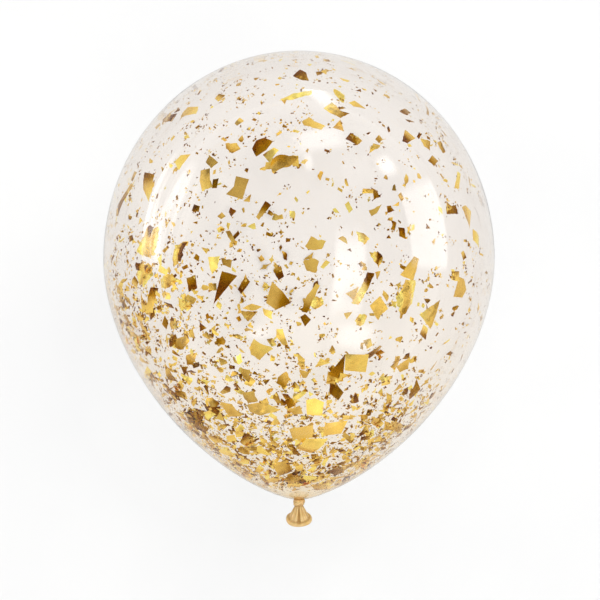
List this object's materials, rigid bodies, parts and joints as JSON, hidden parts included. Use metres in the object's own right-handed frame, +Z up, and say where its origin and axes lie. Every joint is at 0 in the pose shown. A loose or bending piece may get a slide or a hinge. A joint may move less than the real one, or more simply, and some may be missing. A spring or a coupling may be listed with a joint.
{
  "type": "confetti balloon",
  "caption": "Tied clear latex balloon with loose gold foil confetti inside, lying on its side, with a knot and a flared tail.",
  "frame": {"origin": "middle of the footprint, on the floor the balloon lies on", "axes": "+Y along the balloon from the tail towards the crown, +Z up, +X across"},
  "size_m": [0.29, 0.3534, 0.2885],
  "materials": {
    "clear_latex": "clear, glossy, stretched thin",
    "tail_latex": "unstretched, nearly opaque golden tan, satin",
    "gold_foil": "bright metallised film, crinkled"
  },
  "bodies": {
    "root": {"latex_balloon": "clear_latex"}
  },
  "joints": []
}
